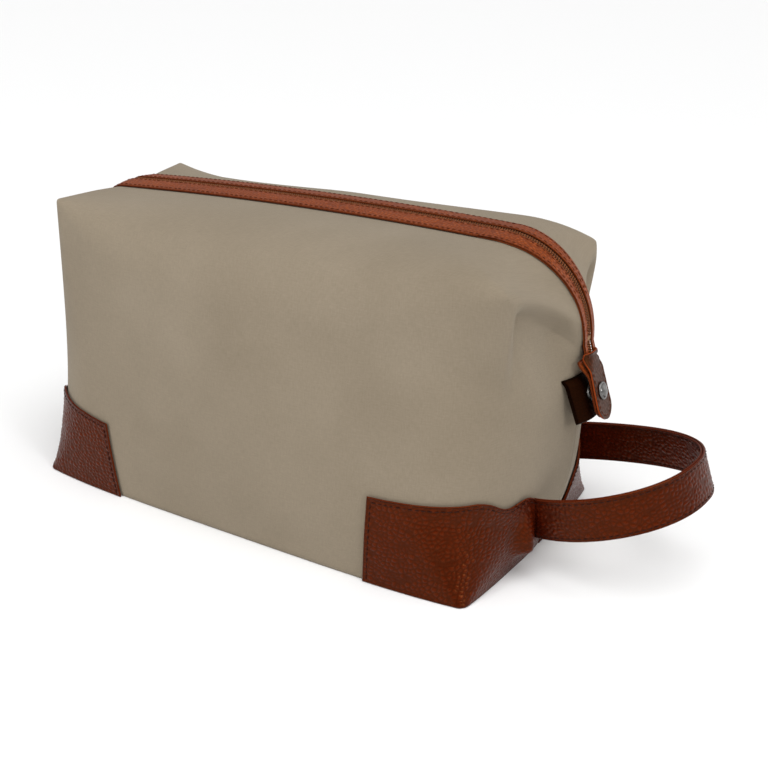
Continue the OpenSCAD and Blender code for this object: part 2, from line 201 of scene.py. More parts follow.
def skin(s, t, ear_y):
    """The bag's outer surface on its front side: s runs along the front and round the ends, t up the wall
    (0 to 1) and over the top (1 to 2)."""
    s, t = np.broadcast_arrays(np.asarray(s, float), np.asarray(t, float))
    sg, a, tau = np.where(s < 0, -1.0, 1.0), np.abs(s), np.minimum(t, 1)
    w = mix(CORNER_RUN[0], CORNER_RUN[1], column_pull(s, tau))
    along = np.where(a < 1, (1 - a) * HALF_L, (1 - a) * ear_y)
    af, ae = ramp(along, w) / HALF_L, ramp(-along, w) / ear_y
    low = np.stack([
        sg * (HALF_L * (1 - af) + BASE_BOW[0] * (1 - (1 - ae) ** 2) * np.minimum(1, 9 * ae)),
        -HALF_W * (1 - ae) - BASE_BOW[1] * (1 - (1 - af) ** 4),
        np.zeros_like(a)], -1)
    rx = sg * (EAR_X * (1 - af) + (ZIP_END_X - EAR_X) * ae)
    lift = np.maximum(ridge_z(rx) - RIM_DROP, EAR_Z) - EAR_Z
    rim = np.stack([
        rx,
        -(ear_y + RIM_BOW * (1 - (1 - af) ** 2)) + ear_y * ae,
        EAR_Z + lift * (1 - (1 - np.minimum(4 * af, 1)) ** 2) + (CREASE_END_Z - EAR_Z) * ae], -1)
    p = np.where(a < 1, a * SHOULDER_P, mix(SHOULDER_P, 2, a - 1))
    top = strip_point(sg * p, -half_at(p, CANVAS_HALF) * clamp01((2 - a) / CLOSING), 0)
    down, over = low - rim, top - rim
    ld = np.linalg.norm(down, axis=-1)
    lo = np.maximum(np.linalg.norm(over, axis=-1), 0.001)
    soft = np.where(a < 1, mix(RIM_RUN[1], RIM_RUN[0], a**3),
                    mix(RIM_RUN[0], CREASE_RUN, clamp01(3 * a - 3)))
    v = np.minimum(soft, 0.95 * np.minimum(ld, lo))
    d = np.where(t < 1, (t - 1) * ld, (t - 1) * lo)
    bulge_x = sg * WALL_BULGE[0] * np.sin(np.pi * tau) * (1 - 0.8 * tau) * np.sqrt(ae)
    bulge_y = -WALL_BULGE[1] * np.sin(np.pi * tau) * (1 - (1 - af) ** 2)
    out = np.stack([bulge_x, bulge_y, np.zeros_like(a)], -1)
    return rim + down * (ramp(-d, v) / ld)[..., None] + over * (ramp(d, v) / lo)[..., None] + out


def crumple(q, side):
    """How far the slack cloth stands in or out, in millimetres, at points of the skin."""
    seed = 11 if side < 0 else 23
    wide = noise(q * [1, 1, 0.8], 74, seed) * 1.4
    folds = noise(q * [1, 1, 0.5], 36, seed + 1) * 0.4
    foot = smooth(q[..., 2] / 30)
    strip = smooth((np.abs(q[..., 1]) - 12) / 20)
    return (wide + folds) * foot * strip


FOLD_ARCH, FOLD_DEPTH, FOLD_ROLL = 9.0, 6.5, 1.7


def fold(s, t, ear_y):
    """The right end's slack: below a rolled edge, which arches from the ear to the zip's end, the wall
    tucks in."""
    over = np.linalg.norm(skin(s, 2.0, ear_y) - skin(s, 1.0, ear_y), axis=-1)
    arch = FOLD_ARCH * np.sin(np.pi * clamp01((s - 1.12) / 0.88))
    below = arch + np.where(t > 1, (1 - t) * over, (1 - t) * EAR_Z)
    tuck = FOLD_DEPTH * smooth((below + 1) / 9) * (1 - smooth((below - 11) / 50))
    roll = FOLD_ROLL * np.exp(-((below + 2.5) / 5) ** 2) * (1.0 if ear_y == FRONT_Y else 0.2)
    roll = roll * smooth((s - 1.0) / 0.14) * smooth((1.95 - s) / 0.3)
    return roll - tuck * smooth((s - 1.1) / 0.13) * smooth((1.92 - s) / 0.32)


def surface(s, t, side, off=0.0):
    """Points of the slack skin moved out by off, on the front (side -1) or the back (side 1)."""
    ear_y = FRONT_Y if side < 0 else BACK_Y
    s, t = np.broadcast_arrays(np.asarray(s, float), np.asarray(t, float))
    e = 0.004
    s0, s1, t0, t1 = np.maximum(s - e, -2), np.minimum(s + e, 2), np.maximum(t - e, 0), np.minimum(t + e, 2)
    along, up = skin(s1, t, ear_y) - skin(s0, t, ear_y), skin(s, t1, ear_y) - skin(s, t0, ear_y)
    n = unit(np.cross(along, up))
    q = skin(s, t, ear_y)
    q = q + n * (crumple(q, side) + np.where(s > 0.9, fold(s, t, ear_y), 0.0) + off)[..., None]
    q[..., 1] = np.minimum(q[..., 1], -SEAM_GAP)
    q[..., 2] = np.where(t == 0, 0, np.maximum(q[..., 2], 0))
    if side > 0:
        q[..., 1] *= -1
    return q


# ---------------------------------------------------------------- meshes
def finish_mesh(name, points, faces, material, body, replaces=(), values=None):
    """A mesh piece from points in millimetres, with per-point values that its material reads."""
    mesh = bpy.data.meshes.new(name)
    mesh.from_pydata((np.asarray(points, float) * MM).tolist(), [], [list(f) for f in faces])
    for key, data in (values or {}).items():
        data = np.asarray(data, np.float32)
        kind = "FLOAT_VECTOR" if data.ndim == 2 else "FLOAT"
        made = mesh.attributes.new(key, kind, "POINT")
        made.data.foreach_set("vector" if data.ndim == 2 else "value", data.ravel())
    bm = bmesh.new()
    bm.from_mesh(mesh)
    bmesh.ops.recalc_face_normals(bm, faces=bm.faces)
    bm.to_mesh(mesh)
    bm.free()
    mesh.polygons.foreach_set("use_smooth", [True] * len(mesh.polygons))
    mesh.materials.append(material)
    obj = bpy.data.objects.new(name, mesh)
    bpy.context.scene.collection.objects.link(obj)
    if body:
        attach(obj, body)
    if replaces:
        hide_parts(*replaces)
    return obj


def flat_lengths(grid):
    """Each grid point's place on the flat cloth, in millimetres."""
    du = np.linalg.norm(np.diff(grid, axis=0), axis=-1)
    dv = np.linalg.norm(np.diff(grid, axis=1), axis=-1)
    u = np.vstack([np.zeros((1, grid.shape[1])), np.cumsum(du, 0)])
    v = np.hstack([np.zeros((grid.shape[0], 1)), np.cumsum(dv, 1)])
    return np.stack([u, v, np.zeros_like(u)], -1)


def border_distance(flat):
    u, v = flat[..., 0], flat[..., 1]
    return np.minimum(np.minimum(u, u[-1:] - u), np.minimum(v, v[:, -1:] - v))


def sheet(name, outer, inner, material, body, replaces=(), grain=0.0, seed=1, round_edge=0.35,
          size=GRAIN):
    """A closed sheet between two grids, with round edges and, on leather, a pebbled outer face."""
    nu, nv = outer.shape[:2]
    flat = flat_lengths(outer)
    edge = np.exp(-border_distance(flat) / 1.3)
    crown = np.ones(outer.shape[:2])
    up = unit(outer - inner)
    smooth_middle = (outer + inner) / 2
    if grain:
        crown = pebbles(flat, size, seed)
        outer = outer + up * (grain * (crown - 1) * (1 - 0.9 * edge))[..., None]
    thick = np.linalg.norm(outer - inner, axis=-1, keepdims=True)
    middle = (outer + inner) / 2
    loop = ([(i, 0) for i in range(nu)] + [(nu - 1, j) for j in range(1, nv)]
            + [(i, nv - 1) for i in range(nu - 2, -1, -1)] + [(0, j) for j in range(nv - 2, 0, -1)])
    rim = []
    outer, inner = outer.copy(), inner.copy()
    pulls = []
    for i, j in loop:
        ci, cj = min(max(i, 1), nu - 2), min(max(j, 1), nv - 2)
        away = smooth_middle[i, j] - smooth_middle[ci, cj]
        away = away / max(np.linalg.norm(away), 1e-9)
        pulls.append((i, j, away * thick[i, j] * round_edge))
    for i, j, pull in pulls:
        outer[i, j] -= pull
        inner[i, j] -= pull
        rim.append(middle[i, j] + pull * 0.4)
    n = nu * nv
    index = np.arange(n).reshape(nu, nv)
    a, b, c, d = index[:-1, :-1], index[1:, :-1], index[1:, 1:], index[:-1, 1:]
    quads = np.stack([a, b, c, d], -1).reshape(-1, 4)
    faces = [quads, quads[:, ::-1] + n]
    ring = np.array([index[i, j] for i, j in loop])
    mid = 2 * n + np.arange(len(loop))
    ring1, mid1 = np.roll(ring, -1), np.roll(mid, -1)
    faces.append(np.stack([ring, mid, mid1, ring1], -1))
    faces.append(np.stack([mid, ring + n, ring1 + n, mid1], -1))
    points = np.vstack([outer.reshape(-1, 3), inner.reshape(-1, 3), np.array(rim)])
    flats = np.vstack([flat.reshape(-1, 3), flat.reshape(-1, 3), np.array([flat[i, j] for i, j in loop])])
    values = {
        "flat": flats * MM,
        "grain": np.concatenate([crown.ravel(), np.full(n, 0.6), np.full(len(loop), 0.7)]),
        "edge": np.concatenate([edge.ravel(), edge.ravel(), np.full(len(loop), 1.4)])}
    return finish_mesh(name, points, np.vstack(faces).tolist(), material, body, replaces, values)


def tube_faces(rings, sides, first):
    """Faces of a tube whose rings follow each other, with both ends closed."""
    index = first + np.arange(rings * sides).reshape(rings, sides)
    nxt = np.roll(index, -1, axis=1)
    quads = np.stack([index[:-1], nxt[:-1], nxt[1:], index[1:]], -1).reshape(-1, 4).tolist()
    return quads + [index[0][::-1].tolist(), index[-1].tolist()]


TUBE_SIDES = 6


def tube_points(path, radius, up):
    """Rings round a path; the radius may differ along it."""
    along = unit(np.gradient(path, axis=0))
    across = unit(np.cross(along, up))
    up = np.cross(across, along)
    a = np.linspace(0, 2 * np.pi, TUBE_SIDES, endpoint=False)[None, :, None]
    r = np.broadcast_to(radius, len(path))[:, None, None]
    return path[:, None] + r * (np.cos(a) * across[:, None] + np.sin(a) * up[:, None])


def tube(name, path, radius, up, material, body, replaces=()):
    rings = tube_points(path, radius, up)
    faces = tube_faces(len(path), TUBE_SIDES, 0)
    return finish_mesh(name, rings.reshape(-1, 3), faces, material, body, replaces)


def run_lengths(path):
    """The length along a path up to each of its points."""
    return np.concatenate([[0], np.cumsum(np.linalg.norm(np.diff(path, axis=0), axis=1))])


def resample(path, up, step):
    """The path and its up vectors at even steps."""
    s = run_lengths(path)
    at = np.linspace(0, s[-1], max(2, int(round(s[-1] / step)) + 1))
    even = np.stack([np.interp(at, s, path[:, k]) for k in range(3)], -1)
    ups = np.stack([np.interp(at, s, up[:, k]) for k in range(3)], -1)
    return even, unit(ups)


STITCH, STITCH_GAP, THREAD_R = 2.5, 0.7, 0.24


def stitches(name, lines, material, body):
    """Rows of sewn thread: each stitch is a small arched tube that dips into the leather at both ends."""
    points, faces, first = [], [], 0
    k = np.linspace(0, 1, 7)
    for path, up in lines:
        even, ups = resample(path, up, STITCH + STITCH_GAP)
        for a, b, n in zip(even[:-1], even[1:], ups[:-1]):
            gap = STITCH_GAP / (STITCH + STITCH_GAP) / 2
            line = a + (b - a) * mix(gap, 1 - gap, k)[:, None]
            line = line + n * (0.26 * np.sin(np.pi * k) - 0.22)[:, None]
            radius = THREAD_R * (0.45 + 0.55 * np.sin(np.pi * k) ** 0.5)
            rings = tube_points(line, radius, np.broadcast_to(n, line.shape))
            points.append(rings.reshape(-1, 3))
            faces += tube_faces(len(k), TUBE_SIDES, first)
            first += len(k) * TUBE_SIDES
    return finish_mesh(name, np.vstack(points), faces, material, body)


# ---------------------------------------------------------------- materials
def srgb(r, g, b):
    """A colour given as 0 to 255 display values, as linear light."""
    shares = (r / 255, g / 255, b / 255)
    linear = (c / 12.92 if c <= 0.04045 else ((c + 0.055) / 1.055) ** 2.4 for c in shares)
    return (*linear, 1.0)


class Shader:
    """A material's node tree, built step by step."""

    def __init__(self, name, roughness, **sockets):
        self.material = bpy.data.materials.new(name)
        self.material.use_nodes = True
        self.tree = self.material.node_tree
        self.bsdf = self.tree.nodes["Principled BSDF"]
        self.bsdf.inputs["Roughness"].default_value = roughness
        for key, value in sockets.items():
            self.bsdf.inputs[key.replace("_", " ")].default_value = value

    def node(self, kind, inputs=None, **settings):
        made = self.tree.nodes.new(kind)
        for key, value in settings.items():
            setattr(made, key, value)
        for key, value in (inputs or {}).items():
            if isinstance(value, bpy.types.NodeSocket):
                self.tree.links.new(value, made.inputs[key])
            else:
                made.inputs[key].default_value = value
        return made

    def attribute(self, name):
        return self.node("ShaderNodeAttribute", attribute_name=name)

    def math(self, operation, a, b=0.0, c=0.0):
        return self.node("ShaderNodeMath", {0: a, 1: b, 2: c}, operation=operation).outputs[0]

    def stretched(self, vector, scale):
        made = self.node("ShaderNodeVectorMath", {0: vector}, operation="MULTIPLY")
        made.inputs[1].default_value = scale
        return made.outputs[0]

    def noise(self, vector, scale, detail=3.0):
        made = self.node("ShaderNodeTexNoise", {"Vector": vector, "Scale": scale, "Detail": detail})
        made.inputs["Roughness"].default_value = 0.55
        return made.outputs["Fac"]

    def colours(self, factor, *stops):
        made = self.node("ShaderNodeValToRGB", {0: factor})
        elements = made.color_ramp.elements
        while len(elements) < len(stops):
            elements.new(0.5)
        for element, (place, colour) in zip(elements, stops):
            element.position = place
            element.color = colour
        return made.outputs[0]

    def blend(self, factor, a, b, kind="MIX"):
        made = self.node("ShaderNodeMix", data_type="RGBA", blend_type=kind)
        for key, value in ((0, factor), (6, a), (7, b)):
            if isinstance(value, bpy.types.NodeSocket):
                self.tree.links.new(value, made.inputs[key])
            else:
                made.inputs[key].default_value = value
        return made.outputs[2]

    def set(self, socket, value):
        self.tree.links.new(value, self.bsdf.inputs[socket])

    def bump(self, height, distance, strength):
        made = self.node("ShaderNodeBump", {"Height": height, "Distance": distance, "Strength": strength})
        self.set("Normal", made.outputs[0])


def woven(name, dark, base, light, pitch, heather=0.5):
    """Plain-woven cloth: fine crossing threads, a faint heathered colour and a soft surface."""
    m = Shader(name, 0.95, Sheen_Weight=0.08, Sheen_Roughness=0.6, Specular_IOR_Level=0.12)
    flat = m.attribute("flat").outputs["Vector"]
    split = m.node("ShaderNodeSeparateXYZ", {0: flat})
    turn = math.pi / (pitch * MM)
    warp = m.math("SINE", m.math("MULTIPLY", split.outputs[0], turn))
    weft = m.math("SINE", m.math("MULTIPLY", split.outputs[1], turn))
    weave = m.math("ABSOLUTE", m.math("MULTIPLY", warp, weft))
    flecks_u = m.noise(m.stretched(flat, (260, 1400, 1)), 1.0, 2.0)
    flecks_v = m.noise(m.stretched(flat, (1400, 260, 1)), 1.0, 2.0)
    flecks = m.math("MULTIPLY", m.math("ADD", flecks_u, flecks_v), 0.5)
    cloud = m.noise(flat, 14, 3.0)
    tone = m.math("ADD", m.math("MULTIPLY", flecks, heather), m.math("MULTIPLY", cloud, 1 - heather))
    colour = m.colours(tone, (0.3, dark), (0.5, base), (0.7, light))
    shade = m.colours(weave, (0.0, (0.88, 0.87, 0.86, 1)), (0.7, (1, 1, 1, 1)))
    m.set("Base Color", m.blend(1.0, colour, shade, "MULTIPLY"))
    m.bump(m.math("ADD", weave, flecks), 0.0001, 0.6)
    return m.material


def leather(name, crease_shade, base, crown, worn, roughness=0.4, gloss=0.42):
    """Pebbled leather: painted shade in the creases and a painted highlight on the crowns, a satin finish on
    the crowns, burnished edges and fine pores.
    """
    m = Shader(name, roughness, Specular_IOR_Level=gloss, Specular_Tint=(1.0, 0.36, 0.12, 1.0))
    flat = m.attribute("flat").outputs["Vector"]
    grain = m.attribute("grain").outputs["Fac"]
    edge = m.attribute("edge").outputs["Fac"]
    cloud = m.noise(flat, 24, 3.0)
    fine = m.noise(flat, 1100, 3.0)
    # The grain value paints shade into the creases and a highlight onto the crowns; the cloud noise is the
    # leather's own uneven tone.
    tone = m.math("ADD", m.math("MULTIPLY", grain, 0.55), m.math("MULTIPLY", cloud, 0.5))
    colour = m.colours(tone, (0.3, crease_shade), (0.7, base), (0.95, crown))
    rim = m.math("GREATER_THAN", edge, 1.15)
    burnt = m.colours(edge, (0.0, (1, 1, 1, 1)), (1.0, (0.66, 0.6, 0.56, 1)))
    colour = m.blend(1.0, colour, burnt, "MULTIPLY")
    m.set("Base Color", m.blend(rim, colour, worn))
    m.set("Roughness", m.math("MULTIPLY_ADD", grain, -0.1, m.math("MULTIPLY_ADD", fine, 0.2, roughness)))
    m.bump(fine, 0.00008, 0.4)
    return m.material


def metal(name, colour, roughness):
    """Plated metal with fine handling scratches."""
    m = Shader(name, roughness, Metallic=1.0)
    place = m.node("ShaderNodeTexCoord").outputs["Object"]
    cloud = m.noise(place, 300, 4.0)
    scratch = m.noise(m.stretched(place, (400, 4000, 400)), 1.0, 2.0)
    tint = tuple(c * 0.72 for c in colour[:3]) + (1.0,)
    m.set("Base Color", m.colours(cloud, (0.3, tint), (0.7, colour)))
    m.set("Roughness", m.math("MULTIPLY_ADD", scratch, 0.25, roughness - 0.1))
    m.bump(scratch, 0.00001, 0.3)
    return m.material


def plain(name, low, high, scale, roughness):
    """A plain solid with mottling and a fine surface, such as thread, board or nylon."""
    m = Shader(name, roughness, Specular_IOR_Level=0.15)
    place = m.node("ShaderNodeTexCoord").outputs["Object"]
    spots = m.noise(place, scale, 4.0)
    m.set("Base Color", m.colours(spots, (0.35, low), (0.65, high)))
    m.bump(spots, 0.00005, 0.5)
    return m.material


CANVAS = woven("canvas", srgb(128, 116, 98), srgb(137, 125, 107), srgb(146, 134, 116), 0.55)
LINING = woven("lining", srgb(150, 139, 120), srgb(160, 149, 130), srgb(170, 159, 140), 0.5, 0.4)
TAPE = woven("zip_tape", srgb(44, 18, 8), srgb(56, 25, 12), srgb(72, 36, 20), 0.45, 0.6)
# In each leather the first colour is painted crease shade, the second the base, the third a painted crown
# highlight and the last the edge colour.
LEATHER = leather("leather", srgb(52, 11, 2), srgb(71, 18, 3), srgb(84, 25, 5), srgb(80, 26, 8), 0.27, 0.34)
TAN = leather("leather_tan", srgb(104, 44, 14), srgb(136, 63, 23), srgb(158, 82, 36), srgb(74, 29, 12),
              0.32, 0.3)
TAB = leather("leather_tab", srgb(34, 14, 7), srgb(58, 28, 17), srgb(76, 42, 28), srgb(124, 50, 20), 0.4)
# The keeper's leather is very dark partly for its own dark dye and partly for painted shade, as it sits in
# shadow behind the tab.
DARK_AND_SHADED = leather("leather_dark", srgb(14, 3, 1), srgb(20, 4, 1), srgb(28, 8, 3), srgb(10, 3, 1), 0.6, 0.12)
THREAD = plain("thread", srgb(32, 10, 4), srgb(48, 18, 8), 2500, 0.7)
THREAD_TAN = plain("thread_tan", srgb(70, 30, 14), srgb(92, 44, 22), 2500, 0.7)
NYLON = plain("zip_coil", srgb(104, 56, 28), srgb(142, 86, 48), 900, 0.3)
BOARD = plain("board", srgb(110, 100, 84), srgb(134, 122, 104), 160, 0.95)
BRASS = metal("brass", srgb(150, 112, 66), 0.38)
STEEL = metal("steel", srgb(128, 126, 124), 0.28)


# ---------------------------------------------------------------- canvas and lining
def spread(count, crowd):
    """Places from 0 to 1 that crowd towards 1 by this share."""
    k = np.linspace(0, 1, count + 1)
    return mix(k, np.sin(k * np.pi / 2), crowd)


def cloth_columns(side_cells, end_cells):
    half = spread(side_cells, 0.75)
    end = 1 + mix(np.linspace(0, 1, end_cells + 1), np.linspace(0, 1, end_cells + 1) ** 1.6, 0.8)[1:]
    right = np.concatenate([half, end])
    return np.concatenate([-right[:0:-1], right])


def cloth_rows(wall_cells, roof_cells, low=0.0):
    wall = mix(low, 1, spread(wall_cells, 0.6))
    return np.concatenate([wall, 1 + np.linspace(0, 1, roof_cells + 1)[1:]])


def shell(name, side, low, high, columns, rows, material, node):
    s, t = columns[:, None], rows[None, :]
    return sheet(name, surface(s, t, side, high), surface(s, t, side, low), material, "bag", [node])


SIDES = (("front", -1), ("back", 1))
LINING_OUT = -CANVAS_T - LINING_GAP
LINING_LOW = 0.026
for word, side in SIDES:
    shell("canvas_" + word, side, -CANVAS_T, 0, cloth_columns(76, 44), cloth_rows(66, 34), CANVAS,
          word + "_panel")
    shell("lining_cloth_" + word, side, LINING_OUT - LINING_T, LINING_OUT, cloth_columns(40, 20),
          cloth_rows(30, 16, LINING_LOW), LINING, "lining_" + word)


def base_plate(name, inset, low, high, material, node):
    """A flat sheet whose outline follows the foot of the walls."""
    foot = skin(np.linspace(-1.99, 1.99, 161), 0.0, FRONT_Y)
    x = foot[:, 0:1] * (1 - inset / HALF_L)
    y = -foot[:, 1:2] * (1 - inset / HALF_W) * np.linspace(-1, 1, 61)[None, :]
    flat = np.stack(np.broadcast_arrays(x, y, 0.0), -1)
    return sheet(name, flat + [0, 0, low], flat + [0, 0, high], material, "bag", [node], round_edge=0.2)


base_plate("canvas_base", 1.6, 0.0, CANVAS_T, CANVAS, "base_panel")
base_plate("lining_cloth_base", 5.0, 3.6, 4.0, LINING, "lining_base")


# ---------------------------------------------------------------- leather corner patches
PATCH_END, PATCH_POINT = 1.97, 1.69
PATCH_CORNER_T, PATCH_POINT_T, PATCH_END_T = 0.315, 0.24, 0.03
LIP_T, LIFT = 0.085, 7.5
WALL_RISE = 158.0


def patch_top(a, front_top, lip=0.0):
    """How far up the wall a patch reaches; lip raises it beside the handle's strap."""
    front = mix(front_top, PATCH_CORNER_T, clamp01((a - 0.6) / 0.4) ** 1.6)
    lip = lip * (np.exp(-((a - 1.53) / 0.19) ** 2) + 0.25 * np.exp(-((a - 1.13) / 0.15) ** 2))
    end = mix(PATCH_CORNER_T, PATCH_POINT_T, (a - 1) / (PATCH_POINT - 1))
    point = mix(PATCH_POINT_T, PATCH_END_T, (a - PATCH_POINT) / (PATCH_END - PATCH_POINT))
    return np.where(a < 1, front, np.where(a < PATCH_POINT, end, point)) + lip


def patch_points(sg, side, a, t, off):
    """The near right patch stands up where the handle's strap runs under it."""
    reach = np.where(t < 0.15, 0.045, 0.1)
    lift = LIFT * np.exp(-((a - 1.535) / 0.075) ** 2 - ((t - 0.15) / reach) ** 2)
    return surface(sg * a, t, side, off + (lift if (sg, side) == (1, -1) else 0.0))


def corner_patch(word, sg, side, inner_low, inner_top, front_top, seed):
    u = np.concatenate([spread(120, 0.5), 1 + np.linspace(0, 1, 150)[1:] ** 1.15])[:, None]
    v = np.linspace(0, 1, 100)[None, :]
    start = mix(inner_low, inner_top, v)
    a = np.where(u < 1, mix(start, 1, np.minimum(u, 1)), mix(1, PATCH_END, np.maximum(u - 1, 0)))
    lip = LIP_T if (sg, side) == (1, -1) else 0.0
    t = v * patch_top(a, front_top, lip)
    outer = patch_points(sg, side, a, t, PATCH_GAP + PATCH_T)
    inner = patch_points(sg, side, a, t, PATCH_GAP)
    sheet("patch_" + word, outer, inner, LEATHER, "bag", ["corner_" + word], 0.38, seed)
    inset = 2.3
    a_line = np.linspace(mix(inner_low, inner_top, 0.9) + inset / HALF_L, PATCH_POINT, 200)
    t_line = patch_top(a_line, front_top, lip) - inset / WALL_RISE
    top = patch_points(sg, side, a_line, t_line, PATCH_GAP + PATCH_T)
    above = patch_points(sg, side, a_line, t_line, PATCH_GAP + PATCH_T + 1)
    v_line = np.linspace(0.03, 0.93, 60)
    a_side = mix(inner_low, inner_top, v_line) + inset / HALF_L
    t_side = v_line * patch_top(a_side, front_top)
    edge = patch_points(sg, side, a_side, t_side, PATCH_GAP + PATCH_T)
    beside = patch_points(sg, side, a_side, t_side, PATCH_GAP + PATCH_T + 1)
    stitches("patch_stitching_" + word, [(top, unit(above - top)), (edge, unit(beside - edge))],
             THREAD, "bag")


for word, side in SIDES:
    corner_patch(word + "_left", -1, side, 0.58, 0.65, 0.26, 31 + side)
    corner_patch(word + "_right", 1, side, 0.6, 0.595, 0.285, 41 + side)


# ---------------------------------------------------------------- leather and chain along the zip
ZIP_LENGTH = run_lengths(strip_point(np.linspace(-2, 2, 800), 0.0, 0.0))[-1]
CHAIN_FROM, CHAIN_TO = -1.93, 2.17
TAPE_HALF = 8.4
STITCH_ROWS = ((4.3, 1.7), (13.9, 1.66))


def even_zip(count, first=-2.0, last=TAIL_P):
    """Places on the zip line at even distances."""
    p = np.linspace(first, last, 1600)
    s = run_lengths(strip_point(p, 0.0, 0.0))
    return np.interp(np.linspace(0, s[-1], count), s, p)


def band(side, p, y_in, y_out, off, rows):
    """A band beside the zip's centre line, on the front (side -1) or the back (side 1)."""
    v = np.linspace(0, 1, rows)[None, :]
    y = np.minimum(mix(y_in, y_out, v), half_at(p[:, None], y_out))
    return strip_point(p[:, None], side * y, off)


def tape_band(side, p, off):
    reach = np.minimum(TAPE_HALF, half_at(p, CANVAS_HALF) - 0.5)[:, None]
    return strip_point(p[:, None], side * mix(1.0, reach, np.linspace(0, 1, 9)[None, :]), off)


tail_p = even_zip(40, 1.9, TAIL_P)
tail_reach = (half_at(tail_p, CANVAS_HALF) - 0.5)[:, None] * np.linspace(-1, 1, 13)[None, :]
sheet("tape_tail", strip_point(tail_p[:, None], tail_reach, -0.1),
      strip_point(tail_p[:, None], tail_reach, -0.6), TAPE, "bag")


def line_on_strip(side, y, off, first, last, count):
    """A line beside the zip's centre line, and its up vectors."""
    p = even_zip(count, first, last)
    yy = side * np.minimum(y, half_at(p, STRIP_HALF) - 1.7)
    path = strip_point(p, yy, off)
    return path, unit(strip_point(p, yy, off + 1) - path)


FACING_TOP = FACING_GAP + FACING_T
for word, side in SIDES:
    p = even_zip(860)
    sheet("facing_" + word, band(side, p, FACING_IN, STRIP_HALF, FACING_TOP, 27),
          band(side, p, FACING_IN, STRIP_HALF, FACING_GAP, 27), TAN, "bag",
          ["zip_facing_" + word], 0.24, 61 + side, size=2.0)
    rows = [line_on_strip(side, y, FACING_TOP, -1.97, last, 900) for y, last in STITCH_ROWS]
    stitches("facing_stitching_" + word, rows, THREAD_TAN, "bag")
    p = even_zip(240, CHAIN_FROM, TAIL_P)
    sheet("tape_" + word, tape_band(side, p, -0.6), tape_band(side, p, -1.2), TAPE, "bag",
          ["zip_tape_" + word])

COIL_PITCH, COIL_STEPS, COIL_R = 1.35, 10, 0.27


def coil(word, side):
    """One half of the chain: a nylon coil whose turns reach past the centre line between the other half's."""
    turns = int(ZIP_LENGTH / COIL_PITCH)
    count = turns * COIL_STEPS
    p = even_zip(count, CHAIN_FROM, CHAIN_TO)
    phase = 2 * np.pi * np.arange(count) / COIL_STEPS + (np.pi if side > 0 else 0)
    y = side * (1.2 + 1.15 * np.cos(phase))
    path = strip_point(p, y, 0.3 + 0.7 * np.sin(phase))
    up = unit(strip_point(p, 0.0, 1.0) - strip_point(p, 0.0, 0.0))
    tube("coil_" + word, path, COIL_R, up, NYLON, "bag", ["zip_coil_" + word])


for word, side in SIDES:
    coil(word, side)
    for number, y, off, material in ((1, 1.35, 0.25, TAPE), (2, 2.5, 0.1, NYLON)):
        path, up = line_on_strip(side, y, off, CHAIN_FROM, CHAIN_TO, 500)
        tube(f"coil_cord_{word}_{number}", path, 0.34, up, material, "bag")


# ---------------------------------------------------------------- frames on the bag
def placed(origin, degrees):
    """A function from (out, across, up) in a frame turned about Y to the bag's millimetres."""
    a = math.radians(degrees)
    out, up = np.array([math.cos(a), 0, -math.sin(a)]), np.array([math.sin(a), 0, math.cos(a)])

    def place(n, y, z):
        n, y, z = np.broadcast_arrays(np.asarray(n, float), np.asarray(y, float), np.asarray(z, float))
        return np.array(origin) + n[..., None] * out + y[..., None] * np.array([0, 1, 0]) + z[..., None] * up

    return place


TAB_LEAN = 18.0
TAB_ORIGIN = (ZIP_END_X + 3.9, 0, ZIP_END_Z - 2.5)
on_tab = placed(TAB_ORIGIN, -TAB_LEAN)
TAB_W, TAB_TOP_W, TAB_L, SNAP_D = 16.0, 13.5, 36.0, 21.5


def tongue(name, place, top, length, half_width, face, material, node, seed):
    """A strap with a round lower end: face(z, y) is its outer face's place, half_width(z) its half width."""
    r = TAB_W / 2
    turn = top - length + r
    straight = np.linspace(top, turn, 44)
    rounded = turn - r * np.sin(np.linspace(0, 1, 22) * np.pi / 2 * 0.985)
    z = np.unique(np.concatenate([straight, rounded]))[::-1]
    w = half_width(z) * np.sqrt(np.maximum(0.001, 1 - (np.maximum(turn - z, 0) / r) ** 2))
    y = np.linspace(-1, 1, 27)[None, :] * w[:, None]
    zz = np.broadcast_to(z[:, None], y.shape)
    n = face(zz, y)
    return sheet(name, place(n, y, zz), place(n - STRAP_T, y, zz), material, None, [node],
                 0.18, seed, size=2.2)


def tab_face(z, y):
    """The outer layer rolls out at its top and hugs the zip's end at its sides."""
    lip = 0.9 * smooth((z + 3) / 2.2)
    hug = 2.8 * smooth((z + 11) / 9) * np.abs(y / 6.75) ** 3
    return lip - hug + 0.25 * smooth((-z - 20) / 14)


def inner_face(z, y):
    return -STRAP_T - 0.1 - 3.0 * smooth((z + 15) / 11)


def tapered(z):
    return mix(TAB_TOP_W, TAB_W, clamp01(-z / (TAB_L - TAB_W / 2))) / 2


def winged(z):
    return tapered(z) + 2.6 * smooth((z + 14) / 10)


def bend_at_tab(obj, start_z, end_z):
    tuple(on_tab(0, 0, start_z) * MM)
    tuple(on_tab(0, 0, end_z) * MM)
    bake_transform(obj)


outer = tongue("tab_front_layer", on_tab, -0.8, TAB_L - 0.8, tapered, tab_face, TAB, "tab_outer", 71)
bend_at_tab(outer, 0.5, -8)
inner = tongue("tab_back_layer", on_tab, -3.5, TAB_L - 4.5, winged, inner_face, TAN, "tab_inner", 72)
bend_at_tab(inner, -3.5, -11)


